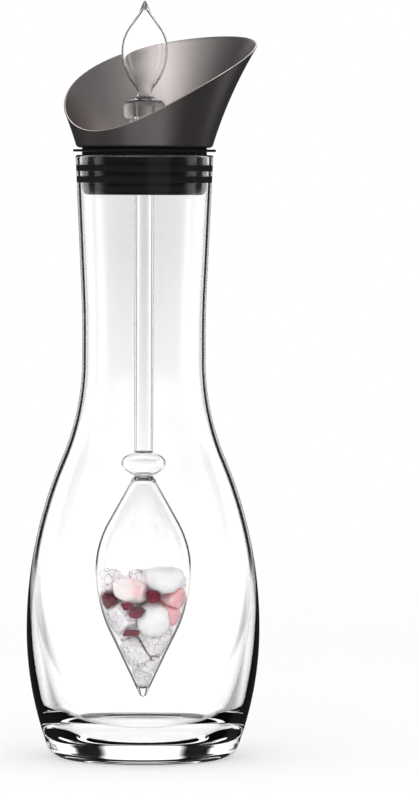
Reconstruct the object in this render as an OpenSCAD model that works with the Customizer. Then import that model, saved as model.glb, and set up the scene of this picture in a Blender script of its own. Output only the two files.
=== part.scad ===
// Gemstone water carafe: a blown glass decanter, a steel pourer on a black stopper,
// and a sealed glass vial of stones that hangs from the lid into the water.
// Millimetres. The origin is on the axis at the table, +Z is up and the spout points to +Y.

/* [Carafe glass] */
// Height of the glass from the table to the lip
glass_h = 300; // [250:1:360]
// Outside diameter of the lip
lip_d = 68.4; // [64:0.2:84]
// Narrowest outside diameter of the neck
neck_d = 61.4; // [58:0.2:63]
// Height of the top of the waist curve, where the neck is narrowest
neck_z = 198; // [185:1:210]
// Height at which the neck starts to flare
flare_z = 212; // [210:1:235]
// Radius of the curve between the straight neck and the flare
flare_r = 420; // [150:10:600]
// Largest outside diameter of the body
body_d = 116.2; // [96:0.2:140]
// Height of the widest place of the body
body_z = 64; // [56:1:74]
// Radius of the body's curve below its widest place
belly_r = 169; // [120:1:240]
// Radius of the shoulder's curve above the widest place
shoulder_r = 217; // [200:1:240]
// Radius of the rounded edge of the foot
foot_r = 9; // [5:0.5:14]
// Width of the ground ring that the glass stands on
foot_w = 1.8; // [1:0.1:4]
// Depth of the hollow under the base
punt_h = 2.5; // [1:0.1:4]
// Wall of the neck and of the shoulder
neck_wall = 2.1; // [1.6:0.1:3]
// Thickness of the base
base_t = 11.5; // [6:0.5:14]
// Radius of the inside of the bowl, where the wall thickens towards the base
bowl_r = 145; // [120:1:170]
// Height above the widest place at which the wall starts to thicken
bowl_rise = 45; // [36:1:56]
// Radius of the inside corner between the bowl and its floor
floor_r = 26; // [12:1:30]

/* [Pourer] */
// Thickness of the steel sheet
sheet = 0.8; // [0.6:0.1:1.2]
// How far the pourer's base stays inside the lip's radius
pourer_set = 0.5; // [0:0.1:2]
// Lean of the pourer's wall at its base, in degrees from upright
pourer_lean = 16.5; // [8:0.5:22]
// Radius of the flare of the pourer's wall
pourer_r = 217; // [180:1:320]
// Radius of the bend between the wall and the floor
bend_r = 2.2; // [1.4:0.1:4]
// Height of the rim above the floor, on the axis seen from the side
rim_mid_h = 34; // [28:0.2:40]
// Slope of the rim at the axis, in degrees
rim_slope = 26.5; // [15:0.5:30]
// Radius of the rim's curve on the spout's side
rim_front_r = 300; // [180:1:400]
// Radius of the rim's curve on the side away from the spout
rim_back_r = 141; // [120:1:260]

/* [Stopper] */
// Gap between the lip and the flange when the seals grip
flange_gap = 1.6; // [0.6:0.1:3]
// Thickness of the flange
flange_t = 1.2; // [1:0.1:3]
// How far the flange stands out past the lip
flange_over = 1.3; // [0:0.1:3]
// Height of the plain shoulder under the flange
shoulder_h = 5.5; // [4:0.1:8]
// Height of each seal ring
seal_h = 5; // [3:0.1:6]
// Thickness of the fin between the two seal rings
fin_t = 0.6; // [0.5:0.1:1.5]
// Height of the nose below the seal rings
nose_h = 5.2; // [3:0.1:9]
// How far the nose draws in towards its bottom edge
nose_draw = 2.6; // [1:0.1:4]
// Depth of the grooves for the seal rings
groove_depth = 2.5; // [1.5:0.1:3]
// Wall between a groove and the holder's socket
plug_wall = 2.4; // [1.6:0.1:3]
// Thickness of the gasket between the stopper and the steel floor
gasket_t = 0.8; // [0.5:0.1:1.5]

/* [Vial holder] */
// Depth of the sleeve that snaps into the stopper
sleeve_h = 8; // [5:0.5:10]
// Wall of the sleeve
sleeve_t = 1.9; // [1.4:0.1:3]
// Thickness of the ring that clamps the steel floor
clamp_t = 2.2; // [1.5:0.1:4]
// Width of the clamping ring outside the sleeve
clamp_w = 4.2; // [2.5:0.1:4.4]
// Height of the hub's top above the steel floor
hub_rise = 6.6; // [6:0.2:14]
// Wall of the hub
hub_wall = 2.6; // [1.8:0.1:3]
// Width of each arm between the hub and the clamping ring
arm_w = 4; // [3:0.1:6]
// Number of arms
arm_count = 3; // [3:1:4]

/* [Gem vial] */
// Outside diameter of the stem tube
stem_d = 9.6; // [8:0.1:12]
// Wall of the stem, the knob and the finial
tube_wall = 0.8; // [0.7:0.1:1.6]
// Largest diameter of the vessel that holds the stones
vessel_d = 48.2; // [40:0.2:52]
// Height of the vessel's widest place
vessel_z = 93; // [88:0.1:105]
// Radius of the vessel's curve above its widest place
vessel_up_r = 50; // [40:1:56]
// Angle of the vessel's upper cone, in degrees from upright
vessel_up_a = 29.5; // [28:0.1:36]
// Radius of the vessel's curve below its widest place
vessel_low_r = 80; // [70:1:90]
// Angle of the vessel's lower cone, in degrees from upright
vessel_low_a = 25.2; // [24:0.1:28]
// Wall of the vessel
vessel_wall = 1; // [0.8:0.1:2]
// Radius of the rounded tip under the vessel
tip_r = 2.2; // [1:0.1:3]
// Radius of the bottom of the space for the stones, above the solid tip
pocket_r = 4; // [3:0.1:5]
// Radius of the top of the space for the stones, closed off from the knob
cap_r = 7; // [6:0.1:9]
// Diameter of the knob above the vessel
knob_d = 22.2; // [18:0.2:24]
// Height of the knob
knob_h = 13.4; // [10:0.1:16]
// Diameter of the collar that hangs in the holder
collar_d = 21; // [17:0.2:24]
// Height of the straight part of the collar and its lower edge
collar_h = 5.6; // [4:0.1:8]
// Radius of the collar's upper shoulder
collar_top_r = 4; // [2:0.1:5]
// Radius of the collar's lower edge
collar_low_r = 1.5; // [0.5:0.1:2.5]
// Diameter of the pinch between the collar and the finial
pinch_d = 7.8; // [6:0.1:9]
// Radius of the hollow curve round the pinch
pinch_r = 3.65; // [3:0.05:5]
// Largest diameter of the drop-shaped finial
finial_d = 23.2; // [18:0.2:24]
// Radius of the finial's curve below its widest place
finial_low_r = 27; // [22:1:34]
// Radius of the finial's curve above its widest place
finial_up_r = 21; // [16:1:24]
// Angle of the finial's cone, in degrees from upright
finial_up_a = 35; // [30:0.5:40]
// Diameter of the finial where its drawn-out tip starts
finial_tip_d = 6.6; // [5:0.1:9]
// Angle of the drawn-out tip, in degrees from upright
finial_tip_a = 24; // [18:0.5:30]
// Radius of the finial's tip
finial_tip_r = 0.6; // [0.5:0.1:1.2]
// Diameter of the clear silicone neck under the collar
grommet_neck_d = 16; // [14:0.1:18]
// Height of that neck
grommet_neck_h = 5.4; // [2:0.1:8]
// Thickness of the silicone flange that rests on the hub
grommet_t = 1.4; // [1:0.1:2.5]
// Depth of the silicone bush inside the hub
bush_h = 5.5; // [4:0.5:9]
// Width of the slit that lets the bush open round the stem
slit_w = 0.8; // [0.5:0.1:1.5]

/* [Stones] */
// Turn of the bed of stones about the axis, in degrees
bed_turn = 42.4; // [0:0.1:360]
// Gap between stones that touch
stone_gap = 0.5; // [0.3:0.1:0.8]
// Gap between the stones and the glass
stone_clear = 0.35; // [0.2:0.05:0.6]
// Size of the rough chip that each stone is broken from, in its own radii
chip_size = 1.15; // [1:0.05:1.4]
// How near stones bear on each other, in the sum of their radii
stone_reach = 1.9; // [1.7:0.1:2.5]

/* [Fits] */
// Gap between the stopper and the glass
plug_clear = 0.4; // [0.3:0.05:0.8]
// Gap between a seal ring and the glass, closed by the squeeze of the real ring
seal_clear = 0.25; // [0.15:0.05:0.4]
// Gap between a seal ring and its groove
groove_clear = 0.3; // [0.1:0.05:0.4]
// Gap between pieces that are pressed together
press_clear = 0.1; // [0.05:0.05:0.3]
// Gap round the vial where it passes through the holder
pass_clear = 0.8; // [0.5:0.1:1.5]
// Gap between the silicone bush and the hub, and under its flange
bush_clear = 0.3; // [0.2:0.05:0.4]

/* [Hidden] */
// Each stone: name, kind, radius and place, in inside radii of the vessel, and its stretch
stones = [
    ["white_quartz_1", "milky", 0.34, [0.47, -0.58, -0.20], [1.04, 1, 0.84]],
    ["white_quartz_2", "milky", 0.33, [0.23, -0.50, -1.11], [1, 1, 1]],
    ["rose_quartz_1", "rose", 0.34, [-0.27, -0.60, -0.43], [1.1, 1, 0.56]],
    ["rose_quartz_2", "rose", 0.29, [0.72, -0.34, -0.64], [1, 1, 0.66]],
    ["rose_quartz_3", "rose", 0.28, [0.58, -0.26, -0.95], [0.9, 1, 1]],
    ["rose_quartz_4", "rose", 0.36, [-0.42, 0.50, -0.58], [1, 1, 0.9]],
    ["rose_quartz_5", "rose", 0.34, [0.04, 0.66, -0.98], [1, 1, 0.9]],
    ["garnet_1", "garnet", 0.14, [-0.14, -0.70, -0.90], [1, 1, 0.75]],
    ["garnet_2", "garnet", 0.13, [-0.25, -0.52, -1.39], [1.1, 1, 0.6]],
    ["garnet_3", "garnet", 0.13, [0.22, -0.76, -0.54], [1, 1, 0.9]],
    ["garnet_4", "garnet", 0.20, [-0.77, -0.38, -0.66], [1, 1, 0.8]],
    ["garnet_5", "garnet", 0.20, [0.64, 0.50, -0.88], [1, 1, 0.8]],
    ["garnet_6", "garnet", 0.12, [-0.33, -0.78, -0.75], [1.1, 1, 0.7]],
    ["clear_quartz_1", "clear", 0.30, [-0.80, -0.22, -0.30], [1, 1, 1]],
    ["clear_quartz_2", "clear", 0.36, [0.42, 0.54, -0.56], [1, 1, 0.9]],
    ["clear_quartz_3", "clear", 0.34, [-0.06, 0.00, -0.46], [1, 1, 0.9]],
    ["clear_quartz_4", "clear", 0.32, [0.78, 0.14, -0.54], [1, 1, 0.9]],
    ["clear_quartz_5", "clear", 0.36, [-0.64, 0.28, -0.94], [1, 1, 1]],
    ["clear_quartz_6", "clear", 0.36, [0.16, 0.08, -0.98], [1, 1, 1]],
    ["clear_quartz_7", "clear", 0.32, [-0.44, -0.36, -1.04], [1, 1, 1]],
    ["clear_quartz_8", "clear", 0.32, [0.36, 0.36, -1.28], [1, 1, 1]],
    ["clear_quartz_9", "clear", 0.32, [-0.20, 0.16, -1.42], [1, 1, 1]],
    ["clear_quartz_10", "clear", 0.30, [0.26, -0.16, -1.60], [1, 1, 1]],
    ["clear_quartz_11", "clear", 0.28, [0.06, 0.26, -1.76], [1, 1, 1]],
    ["clear_quartz_12", "clear", 0.28, [-0.16, -0.14, -1.86], [1, 1, 1]],
    ["clear_quartz_13", "clear", 0.26, [0.10, 0.02, -2.12], [1, 1, 1]],
    ["clear_quartz_14", "clear", 0.24, [0, 0, -2.44], [1, 1, 1]]
];
// Sides of the two blocks whose common part is a rough chip, and the lean of the second
chip_blocks = [[1, 0.92, 0.84], [1.1, 0.96, 1.04]];
chip_lean = [35, 50, 0];
// Turn from one stone to the next, so that no two lie alike
stone_turn = 137.5;
assembly_nodes = [
    "carafe_glass", "pourer_funnel", "pourer_gasket", "stopper_core", "upper_seal_ring",
    "lower_seal_ring", "vial_holder", "vial_grommet", "gem_vial"
];

function arc(c, r, from, to, n) = [
    for (i = [0:n])
        let (a = from + (to - from) * i / n)
            [c.x + r * cos(a), c.y + r * sin(a)]
];
function unit(v) = v / norm(v);
function tilt(v) = atan2(v.y, v.x);

// Carafe outline: arcs that meet in tangents
lip_r = lip_d / 2;
neck_r = neck_d / 2;
body_r = body_d / 2;
belly_c = [body_r - belly_r, body_z];
shoulder_c = [body_r - shoulder_r, body_z];
waist_reach = neck_r - shoulder_c.x;
waist_r = (waist_reach * waist_reach + pow(neck_z - body_z, 2) - shoulder_r * shoulder_r)
    / (2 * (shoulder_r - waist_reach));
waist_c = [neck_r + waist_r, neck_z];
waist_a = tilt(waist_c - shoulder_c);
flare_out = lip_r - neck_r;
flare_rise = glass_h - flare_z;
flare_fit = min(flare_r, 0.98 * (flare_rise * flare_rise + flare_out * flare_out) / (2 * flare_out));
flare_c = [neck_r + flare_fit, flare_z];
flare_far = [flare_c.x - lip_r, flare_rise];
flare_a = tilt(flare_far) - acos(flare_fit / norm(flare_far));
foot_c = [
    belly_c.x + sqrt(pow(belly_r - foot_r, 2) - pow(body_z - foot_r, 2)),
    foot_r
];
foot_a = tilt(foot_c - belly_c);
stand_r = foot_c.x - foot_w;
punt_r = (stand_r * stand_r + punt_h * punt_h) / (2 * punt_h);
bowl_a = asin(bowl_rise / (shoulder_r - neck_wall));
bowl_c = shoulder_c + (shoulder_r - neck_wall - bowl_r) * [cos(bowl_a), sin(bowl_a)];
floor_c = [
    bowl_c.x + sqrt(pow(bowl_r - floor_r, 2) - pow(bowl_c.y - base_t - floor_r, 2)),
    base_t + floor_r
];
floor_a = tilt(floor_c - bowl_c);
lip_edge_r = neck_wall / 2;
lip_edge_c = [lip_r - lip_edge_r / cos(flare_a), glass_h - lip_edge_r];
function bore_r(z) = lip_r - (glass_h - z) * tan(flare_a) - neck_wall / cos(flare_a);

// Lid stack, upwards from the lip
flange_z = glass_h + flange_gap;
flange_top = flange_z + flange_t;
floor_z = flange_top + gasket_t;
floor_top = floor_z + sheet;
flange_edge_r = lip_r + flange_over;
seal_top = flange_z - shoulder_h;
fin_z = seal_top - seal_h - fin_t;
nose_top = fin_z - seal_h;
plug_bottom = nose_top - nose_h;
plug_r = bore_r(nose_top) - plug_clear;
groove_r = plug_r - groove_depth;
socket_r = groove_r - plug_wall;
pour_r = socket_r - sleeve_t;
socket_z = flange_top - sleeve_h;

// Pourer wall: an arc that leans out more and more from the bend at the floor
wall_foot_r = lip_r - pourer_set;
wall_c = [wall_foot_r + pourer_r * cos(pourer_lean), floor_z - pourer_r * sin(pourer_lean)];
bend_a = asin((floor_z + bend_r - wall_c.y) / (pourer_r + bend_r));
bend_c = wall_c + (pourer_r + bend_r) * [-cos(bend_a), sin(bend_a)];
wall_top_a = 40;
rim_mid_a = 90 + rim_slope;
rim_back_end = -1.2 * wall_foot_r;
rim_front_end = 2 * wall_foot_r;
rim_front_c = [0, floor_z + rim_mid_h] - rim_front_r * [cos(rim_mid_a), sin(rim_mid_a)];
rim_back_c = [0, floor_z + rim_mid_h] - rim_back_r * [cos(rim_mid_a), sin(rim_mid_a)];

// Vial, hung by its collar
hub_hole_r = max(finial_d, knob_d, collar_d) / 2 + pass_clear;
hub_r = hub_hole_r + hub_wall;
hub_top = floor_top + hub_rise;
grommet_z = hub_top + press_clear;
grommet_top = grommet_z + grommet_t + grommet_neck_h;
collar_z = grommet_top + press_clear;
collar_top = collar_z + collar_h;
stem_r = stem_d / 2;
vessel_r = vessel_d / 2;
vessel_in_r = vessel_r - vessel_wall;
finial_r = finial_d / 2;
collar_c = [collar_d / 2 - collar_top_r, collar_top];
pinch_x = pinch_d / 2 + pinch_r;
pinch_c = [pinch_x, collar_top + sqrt(pow(pinch_r + collar_top_r, 2) - pow(pinch_x - collar_c.x, 2))];
finial_x = finial_r - finial_low_r;
finial_z = pinch_c.y + sqrt(pow(finial_low_r + pinch_r, 2) - pow(pinch_x - finial_x, 2));
collar_a = tilt(pinch_c - collar_c);
pinch_a = tilt([finial_x, finial_z] - pinch_c);
vessel_cone = [
    vessel_r - vessel_up_r * (1 - cos(vessel_up_a)),
    vessel_z + vessel_up_r * sin(vessel_up_a)
];
knob_foot_z = vessel_cone.y + (vessel_cone.x - stem_r) / tan(vessel_up_a);
knob_z = knob_foot_z + knob_h / 2 * sqrt(1 - pow(stem_d / knob_d, 2));

// A round end that closes a cone on the axis: side is 1 for a top end and -1 for a bottom one
function cone_end(p, lean, r, side) =
    let (apex = p.y + side * p.x / tan(lean), c = [0, apex - side * r / sin(lean)])
        side > 0 ? arc(c, r, lean, 90, 5) : arc(c, r, -90, -lean, 5);
function drop_low(r_max, z, r, lean) = arc([r_max - r, z], r, -lean, 0, 10);
function drop_up(r_max, z, r, lean) = arc([r_max - r, z], r, 0, lean, 10);
function ellipse_side(r, half, z, r_low, r_high) =
    let (from = -acos(r_low / r), to = acos(r_high / r))
        [for (i = [0:16]) let (a = from + (to - from) * i / 16) [r * cos(a), z + half * sin(a)]];

// Space inside the vessel, drawn in by a further inset
function vessel_space(inset) =
    let (
        w = vessel_wall + inset,
        low = drop_low(vessel_r - w, vessel_z, vessel_low_r - w, vessel_low_a),
        up = drop_up(vessel_r - w, vessel_z, vessel_up_r - w, vessel_up_a)
    )
        concat(
            cone_end(low[0], vessel_low_a, pocket_r - inset, -1),
            low,
            up,
            cone_end(up[len(up) - 1], vessel_up_a, cap_r - inset, 1)
        );

glass_tint = [0.86, 0.94, 0.95, 0.4];
steel_tint = [0.62, 0.62, 0.63];
black_tint = [0.07, 0.07, 0.07];
silicone_tint = [0.12, 0.12, 0.12];
clear_silicone_tint = [0.82, 0.84, 0.84, 0.6];

function stone_tint(kind) =
    kind == "rose" ? [0.91, 0.66, 0.69] :
    kind == "garnet" ? [0.42, 0.05, 0.14] :
    kind == "milky" ? [0.93, 0.92, 0.94] :
    [0.86, 0.82, 0.88];

module carafe_glass() {
    outside = concat(
        arc(foot_c, foot_r, -90, foot_a, 8),
        arc(belly_c, belly_r, foot_a, 0, 12),
        arc(shoulder_c, shoulder_r, 0, waist_a, 14),
        arc(waist_c, waist_r, 180 + waist_a, 180, 12),
        arc(flare_c, flare_fit, 180, 180 - flare_a, 4)
    );
    lip = arc(lip_edge_c, lip_edge_r, 0, 180, 8);
    inside = concat(
        arc(flare_c, flare_fit + neck_wall, 180 - flare_a, 180, 4),
        arc(waist_c, waist_r + neck_wall, 180, 180 + waist_a, 12),
        arc(shoulder_c, shoulder_r - neck_wall, waist_a, bowl_a, 8),
        arc(bowl_c, bowl_r, bowl_a, floor_a, 14),
        arc(floor_c, floor_r, floor_a, -90, 10)
    );
    punt = arc([0, punt_h - punt_r], punt_r, 90, 90 - asin(stand_r / punt_r), 6);
    color(glass_tint)
        rotate_extrude()
            polygon(concat(outside, lip, inside, [[0, base_t]], punt));
}

// What is cut away above the rim: two curves, seen from the side, that meet in one slope on the axis
module rim_cut() {
    back_a = acos((rim_back_end - rim_back_c.x) / rim_back_r);
    front_a = acos((rim_front_end - rim_front_c.x) / rim_front_r);
    back = arc(rim_back_c, rim_back_r, back_a, rim_mid_a, 10);
    front = arc(rim_front_c, rim_front_r, rim_mid_a, front_a, 12);
    reach = 3 * lip_d;
    above = [
        [reach, front[len(front) - 1].y],
        [reach, floor_z + reach],
        [-reach, floor_z + reach],
        [-reach, back[0].y]
    ];
    rotate([90, 0, 90])
        translate([0, 0, -reach])
            linear_extrude(2 * reach)
                polygon(concat(back, [for (i = [1:len(front) - 1]) front[i]], above));
}

module pourer_funnel() {
    hole_r = socket_r + press_clear;
    outside = concat(
        [[hole_r, floor_z]],
        arc(bend_c, bend_r, -90, -bend_a, 6),
        arc(wall_c, pourer_r, 180 - bend_a, 180 - wall_top_a, 16)
    );
    inside = concat(
        arc(wall_c, pourer_r + sheet, 180 - wall_top_a, 180 - bend_a, 16),
        arc(bend_c, bend_r - sheet, -bend_a, -90, 6),
        [[hole_r, floor_top]]
    );
    color(steel_tint)
        difference() {
            rotate_extrude()
                polygon(concat(outside, inside));
            rim_cut();
        }
}

module ring(r_out, r_in, z, h) {
    translate([0, 0, z])
        difference() {
            cylinder(r = r_out, h = h);
            translate([0, 0, -h])
                cylinder(r = r_in, h = 3 * h);
        }
}

module pourer_gasket() {
    color(silicone_tint)
        ring(plug_r, socket_r + press_clear, flange_top, gasket_t);
}

module stopper_core() {
    edge = flange_t / 3;
    outline = [
        [pour_r, plug_bottom],
        [plug_r - nose_draw, plug_bottom],
        [plug_r - nose_draw / 3, plug_bottom + nose_h / 4],
        [plug_r, nose_top],
        [groove_r, nose_top],
        [groove_r, fin_z],
        [plug_r, fin_z],
        [plug_r, fin_z + fin_t],
        [groove_r, fin_z + fin_t],
        [groove_r, seal_top],
        [plug_r, seal_top],
        [plug_r, flange_z],
        [flange_edge_r - edge, flange_z],
        [flange_edge_r, flange_z + edge],
        [flange_edge_r, flange_top - edge],
        [flange_edge_r - edge, flange_top],
        [socket_r, flange_top],
        [socket_r, socket_z],
        [pour_r, socket_z]
    ];
    color(black_tint)
        rotate_extrude()
            polygon(outline);
}

// One silicone ring in a groove that starts at height z, shaped to the flare of the neck
module seal_ring(z) {
    low = z + press_clear;
    high = z + seal_h - press_clear;
    inner_r = groove_r + groove_clear;
    bulge = (bore_r(low) - seal_clear - inner_r) / 3;
    color(silicone_tint)
        rotate_extrude()
            polygon([
                [inner_r, low],
                [bore_r(low) - seal_clear - bulge, low],
                [bore_r(low + bulge) - seal_clear, low + bulge],
                [bore_r(high - bulge) - seal_clear, high - bulge],
                [bore_r(high) - seal_clear - bulge, high],
                [inner_r, high]
            ]);
}

module upper_seal_ring() {
    seal_ring(fin_z + fin_t);
}

module lower_seal_ring() {
    seal_ring(nose_top);
}

module vial_holder() {
    sleeve_r = socket_r - press_clear;
    color(black_tint)
        union() {
            ring(sleeve_r, pour_r, socket_z + press_clear, sleeve_h + gasket_t + sheet);
            ring(sleeve_r + clamp_w, pour_r, floor_top, clamp_t);
            ring(hub_r, hub_hole_r, floor_top, hub_rise);
            for (i = [0:arm_count - 1])
                rotate([0, 0, 180 + i * 360 / arm_count])
                    translate([hub_r - hub_wall / 2, -arm_w / 2, floor_top - sheet])
                        cube([pour_r + sleeve_t / 2 - hub_r + hub_wall / 2, arm_w, hub_rise / 2]);
        }
}

module vial_grommet() {
    bush_r = hub_hole_r - bush_clear;
    bore = stem_r + press_clear;
    color(clear_silicone_tint)
        difference() {
            union() {
                ring(grommet_neck_d / 2, bore, grommet_z, grommet_top - grommet_z);
                ring(hub_r - bush_clear, bore, grommet_z, grommet_t);
                ring(bush_r, bore, grommet_z - bush_h, bush_h + grommet_t / 2);
            }
            translate([0, -slit_w / 2, grommet_z - 2 * bush_h])
                cube([2 * hub_r, slit_w, 4 * bush_h]);
        }
}

module gem_vial() {
    collar_r = collar_d / 2;
    edge_c = [collar_r - collar_low_r, collar_z + collar_low_r];
    low = drop_low(vessel_r, vessel_z, vessel_low_r, vessel_low_a);
    up = drop_up(finial_r, finial_z, finial_up_r, finial_up_a);
    up_end = up[len(up) - 1];
    tip_foot = [finial_tip_d / 2, up_end.y + (up_end.x - finial_tip_d / 2) / tan(finial_up_a)];
    outside = concat(
        cone_end(low[0], vessel_low_a, tip_r, -1),
        low,
        drop_up(vessel_r, vessel_z, vessel_up_r, vessel_up_a),
        ellipse_side(knob_d / 2, knob_h / 2, knob_z, stem_r, stem_r),
        [[stem_r, collar_z]],
        arc(edge_c, collar_low_r, -90, 0, 5),
        arc(collar_c, collar_top_r, 0, collar_a, 6),
        arc(pinch_c, pinch_r, 180 + collar_a, pinch_a, 10),
        drop_low(finial_r, finial_z, finial_low_r, 180 - pinch_a),
        up,
        [tip_foot],
        cone_end(tip_foot, finial_tip_a, finial_tip_r, 1)
    );
    stem_in = stem_r - tube_wall;
    pinch_in_r = pinch_r + tube_wall;
    pinch_in_a = acos(min(1, (pinch_x - stem_in) / pinch_in_r));
    in_up = drop_up(finial_r - tube_wall, finial_z, finial_up_r - tube_wall, finial_up_a);
    tube_space = concat(
        ellipse_side(knob_d / 2 - tube_wall, knob_h / 2 - tube_wall, knob_z, 0, stem_in),
        arc(pinch_c, pinch_in_r, 180 + pinch_in_a, pinch_a, 8),
        drop_low(finial_r - tube_wall, finial_z, finial_low_r - tube_wall, 180 - pinch_a),
        in_up,
        cone_end(in_up[len(in_up) - 1], finial_up_a, 2 * tube_wall, 1)
    );
    color(glass_tint)
        difference() {
            rotate_extrude()
                polygon(outside);
            rotate_extrude()
                polygon(vessel_space(0));
            rotate_extrude()
                polygon(tube_space);
        }
}

// Everything on the near side of a plane at distance d from the origin along v
module near_side(v, d) {
    reach = 4 * vessel_d;
    rotate([0, acos(unit(v).z), tilt(v)])
        translate([-reach / 2, -reach / 2, d - reach])
            cube(reach);
}

// A stone fills its share of the bed: planes split the room between it and its neighbours,
// a rough chip cuts its corners, and the glass bounds it
module stone(index) {
    s = stones[index];
    size = s[2] * vessel_in_r;
    place = s[3] * vessel_in_r + [0, 0, vessel_z];
    chip = 2 * chip_size * size;
    turn = stone_turn * index;
    neighbours = [
        for (j = [0:len(stones) - 1])
            if (j != index && norm(stones[j][3] - s[3]) < stone_reach * (stones[j][2] + s[2])) j
    ];
    color(stone_tint(s[1]))
        rotate([0, 0, bed_turn])
            intersection() {
                translate(place)
                    scale(s[4])
                        rotate([turn, turn / 2, turn / 3])
                            cube(chip * chip_blocks[0], center = true);
                translate(place)
                    scale(s[4])
                        rotate(chip_lean + [turn / 3, turn, turn / 2])
                            cube(chip * chip_blocks[1], center = true);
                intersection_for (j = neighbours)
                    let (
                        v = (stones[j][3] - s[3]) * vessel_in_r,
                        other = stones[j][2] * vessel_in_r,
                        share = (norm(v) + (size * size - other * other) / norm(v)) / 2
                    )
                        translate(place)
                            near_side(v, share - stone_gap / 2);
                rotate_extrude()
                    polygon(vessel_space(stone_clear));
            }
}

carafe_glass();
pourer_funnel();
pourer_gasket();
stopper_core();
upper_seal_ring();
lower_seal_ring();
vial_holder();
vial_grommet();
gem_vial();
for (i = [0:len(stones) - 1])
    stone(i);
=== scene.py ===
import math

import bpy
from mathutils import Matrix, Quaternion, Vector


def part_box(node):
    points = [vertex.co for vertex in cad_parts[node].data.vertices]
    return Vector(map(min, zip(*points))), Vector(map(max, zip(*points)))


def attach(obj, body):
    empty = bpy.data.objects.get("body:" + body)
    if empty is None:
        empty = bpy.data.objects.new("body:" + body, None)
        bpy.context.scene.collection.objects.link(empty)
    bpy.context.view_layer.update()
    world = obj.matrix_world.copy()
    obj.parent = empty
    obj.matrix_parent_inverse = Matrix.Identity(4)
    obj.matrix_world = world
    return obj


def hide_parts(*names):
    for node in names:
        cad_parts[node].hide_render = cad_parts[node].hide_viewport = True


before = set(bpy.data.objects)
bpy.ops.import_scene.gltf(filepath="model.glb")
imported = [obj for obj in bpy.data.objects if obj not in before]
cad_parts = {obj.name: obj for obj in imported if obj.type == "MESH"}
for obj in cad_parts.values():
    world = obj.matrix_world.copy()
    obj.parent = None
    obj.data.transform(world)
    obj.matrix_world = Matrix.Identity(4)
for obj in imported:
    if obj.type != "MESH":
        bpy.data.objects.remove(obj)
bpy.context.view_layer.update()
mm = 0.001  # outlines are drawn in millimetres, as on a turner's drawing
turnedWeld, copiedWeld = mm / 200, mm / 500  # points closer than this become one
flatWithin = 0.4  # the triangles of one flat CAD face differ by less, in degrees
print("frame loaded:", len(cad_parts), "nodes")


def clearSelection():
    if bpy.context.mode != "OBJECT":
        bpy.ops.object.mode_set(mode="OBJECT")
    bpy.ops.object.select_all(action="DESELECT")


def pick(piece):
    clearSelection()
    piece.select_set(True)
    bpy.context.view_layer.objects.active = piece


def applyModifier(piece, kind, **settings):
    pick(piece)
    modifier = piece.modifiers.new(kind.lower(), kind)
    for setting, value in settings.items():
        setattr(modifier, setting, value)
    bpy.ops.object.modifier_apply(modifier=modifier.name)


def roundEdges(piece, width, segments, degrees):
    applyModifier(
        piece, "BEVEL", width=width * mm, segments=segments,
        limit_method="ANGLE", angle_limit=math.radians(degrees),
    )


def shadeSmooth(piece, degrees):
    pick(piece)
    bpy.ops.object.shade_smooth_by_angle(angle=math.radians(degrees))


def joinPieces(first, *others):
    pick(first)
    for other in others:
        other.select_set(True)
    bpy.ops.object.join()
    return first


def point(radius, height):
    return Vector((radius, height))


def tilt(v):
    return math.degrees(math.atan2(v[1], v[0]))


def onArc(centre, radius, degrees):
    turn = math.radians(degrees)
    return point(centre[0] + radius * math.cos(turn), centre[1] + radius * math.sin(turn))


def arc(centre, radius, start, end, steps):
    return [onArc(centre, radius, start + (end - start) * i / steps) for i in range(steps + 1)]


# Two outlines joined by a straight wall, with a point close to each of its ends, so that it shades straight
def joinStraight(before, after, step=0.5):
    along = (after[0] - before[-1]).normalized() * step
    return before + [before[-1] + along, after[0] - along] + after


# One vertex is drawn along the outline and spun round the axis, as on a lathe
def turnPiece(name, outline, segments, hollow=False):
    clearSelection()
    start = outline[0] * mm
    bpy.ops.mesh.primitive_plane_add(size=mm, location=(start.x, 0, start.y))
    piece = bpy.context.object
    piece.name = piece.data.name = name
    bpy.ops.object.mode_set(mode="EDIT")
    bpy.ops.mesh.merge(type="CENTER")
    for here, there in zip(outline, outline[1:]):
        move = (there - here) * mm
        bpy.ops.mesh.extrude_region_move(TRANSFORM_OT_translate={"value": (move.x, 0, move.y)})
    bpy.ops.mesh.select_all(action="SELECT")
    bpy.ops.mesh.spin(steps=segments, angle=2 * math.pi, center=(0, 0, 0), axis=(0, 0, 1))
    bpy.ops.mesh.select_all(action="SELECT")
    bpy.ops.mesh.remove_doubles(threshold=turnedWeld)
    bpy.ops.mesh.normals_make_consistent(inside=hollow)  # a hollow in glass faces inwards
    bpy.ops.object.mode_set(mode="OBJECT")
    bpy.ops.object.transform_apply(location=True, rotation=True, scale=True)
    return piece


# A CAD node's triangles, merged into whole faces, as a piece of its own
def copyNode(node, name):
    piece = bpy.data.objects.new(name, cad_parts[node].data.copy())
    piece.data.name = name
    bpy.context.scene.collection.objects.link(piece)
    pick(piece)
    bpy.ops.object.mode_set(mode="EDIT")
    bpy.ops.mesh.select_all(action="SELECT")
    bpy.ops.mesh.remove_doubles(threshold=copiedWeld)
    bpy.ops.mesh.dissolve_limited(angle_limit=math.radians(flatWithin))
    bpy.ops.object.mode_set(mode="OBJECT")
    return piece


def place(piece, body, slot, finish, *nodes):
    piece.data.materials.clear()
    piece.data.materials.append(finish)
    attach(piece, body)
    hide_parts(*nodes)


# Materials
noiseLow, noiseMiddle, noiseHigh = 0.3, 0.5, 0.7  # most of a noise lies between the first and the last


def addNode(tree, kind, inputs=None, **settings):
    node = tree.nodes.new(kind)
    for setting, value in settings.items():
        setattr(node, setting, value)
    for socket, value in (inputs or {}).items():
        node.inputs[socket].default_value = value
    return node


# A socket takes a number or a colour as it is, and anything else by a link
def feed(tree, socket, value):
    if isinstance(value, (int, float, tuple)):
        socket.default_value = value
    else:
        tree.links.new(value, socket)


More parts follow.
